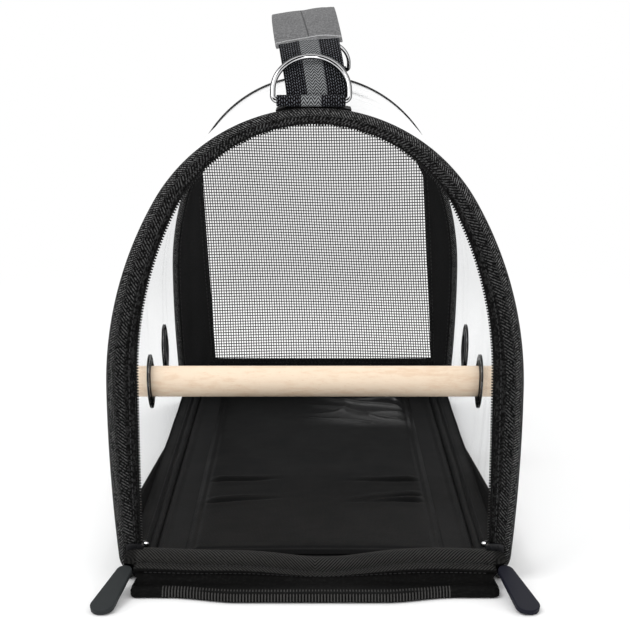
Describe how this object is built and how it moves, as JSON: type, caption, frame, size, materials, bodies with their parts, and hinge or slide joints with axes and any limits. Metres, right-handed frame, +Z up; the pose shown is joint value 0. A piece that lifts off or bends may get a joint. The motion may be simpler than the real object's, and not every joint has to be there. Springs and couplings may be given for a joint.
{
  "type": "bird travel carrier",
  "caption": "Clear tunnel-shaped soft travel carrier for a small bird, with a zipped front door folded down, mesh rear panel, wooden perch, padded mat and webbing handle.",
  "frame": {"origin": "on the ground, in the middle of the bounding box with the zipper pulls and perch at rest", "axes": "+X to the right of someone facing the door, +Y from the door to the rear mesh panel, +Z up"},
  "size_m": [0.25, 0.4561, 0.316],
  "materials": {
    "clear_film": "clear",
    "black_binding": "woven",
    "black_nylon": "satin",
    "black_mesh": "open net",
    "black_webbing": "woven",
    "grey_wrap": "soft",
    "frame_steel": "drawn",
    "bright_steel": "polished",
    "black_metal": "satin",
    "zipper_plastic": "satin",
    "board": "matte",
    "black_rubber": "matte",
    "pull_rubber": "matte",
    "bare_wood": "raw"
  },
  "bodies": {
    "shell": {"clear_tunnel": "clear_film", "eyelet_rings": "black_metal", "wall_grommets": "black_rubber", "front_piping": "black_binding", "front_frame_wire": "frame_steel", "rear_piping": "black_binding", "rear_frame_wire": "frame_steel", "front_band": "black_binding", "front_sill": "black_nylon", "frame_zipper_coil": "zipper_plastic", "zipper_stops": "bright_steel", "rear_panel_border": "black_nylon", "rear_mesh": "black_mesh", "bottom_cover": "black_nylon", "floor_board": "board", "floor_liner": "black_nylon", "left_base_piping": "black_binding", "right_base_piping": "black_binding", "left_floor_band": "black_nylon", "right_floor_band": "black_nylon", "handle_strap": "black_webbing", "handle_sleeve": "grey_wrap", "front_handle_patch": "black_nylon", "rear_handle_patch": "black_nylon", "front_ring_tab": "black_webbing", "rear_ring_tab": "black_webbing"},
    "door_flap": {"door_flap": "black_binding"},
    "door_panel": {"door_border": "black_nylon", "door_mesh": "black_mesh", "door_zipper_coil": "zipper_plastic"},
    "left_slider": {"left_slider": "bright_steel"},
    "right_slider": {"right_slider": "bright_steel"},
    "left_pull": {"left_pull_link": "bright_steel", "left_pull_tab": "pull_rubber"},
    "right_pull": {"right_pull_link": "bright_steel", "right_pull_tab": "pull_rubber"},
    "front_ring": {"front_d_ring": "bright_steel"},
    "rear_ring": {"rear_d_ring": "bright_steel"},
    "perch": {"perch": "bare_wood"},
    "mat": {"mat": "black_nylon"}
  },
  "joints": [
    {"name": "door_hinge", "type": "hinge", "parent": "shell", "child": "door_flap", "pos_m": [0, -0.18214, 0.016], "axis": [-1, 0, 0], "range_deg": [0, 155.43]},
    {"name": "door_fold", "type": "hinge", "parent": "door_flap", "child": "door_panel", "pos_m": [0, -0.19534, 0.0018], "axis": [-1, 0, 0], "range_deg": [0, 114.58]},
    {"name": "left_zip", "type": "slide", "parent": "shell", "child": "left_slider", "axis": [0, 0, 1], "range_m": [0, 0.09]},
    {"name": "left_pull_swing", "type": "hinge", "parent": "left_slider", "child": "left_pull", "pos_m": [-0.102, -0.18174, 0.0145], "axis": [-1, 0, 0], "range_deg": [0, 100]},
    {"name": "right_zip", "type": "slide", "parent": "shell", "child": "right_slider", "axis": [0, 0, 1], "range_m": [0, 0.09]},
    {"name": "right_pull_swing", "type": "hinge", "parent": "right_slider", "child": "right_pull", "pos_m": [0.102, -0.18174, 0.0145], "axis": [-1, 0, 0], "range_deg": [0, 100]},
    {"name": "front_ring_swing", "type": "hinge", "parent": "shell", "child": "front_ring", "pos_m": [-0.0021, -0.17604, 0.2675], "axis": [1, 0, 0], "range_deg": [0, 150]},
    {"name": "rear_ring_swing", "type": "hinge", "parent": "shell", "child": "rear_ring", "pos_m": [0.0061, 0.22536, 0.2675], "axis": [-1, 0, 0], "range_deg": [0, 150]},
    {"name": "perch_slide", "type": "slide", "parent": "shell", "child": "perch", "axis": [1, 0, 0], "range_m": [-0.25, 0.25]},
    {"name": "mat_lift", "type": "slide", "parent": "shell", "child": "mat", "axis": [0, 0, 1], "range_m": [0, 0.03]}
  ],
  "couplings": [
    {"joint": "door_fold", "follows": "door_hinge", "ratio": 0.73713}
  ]
}
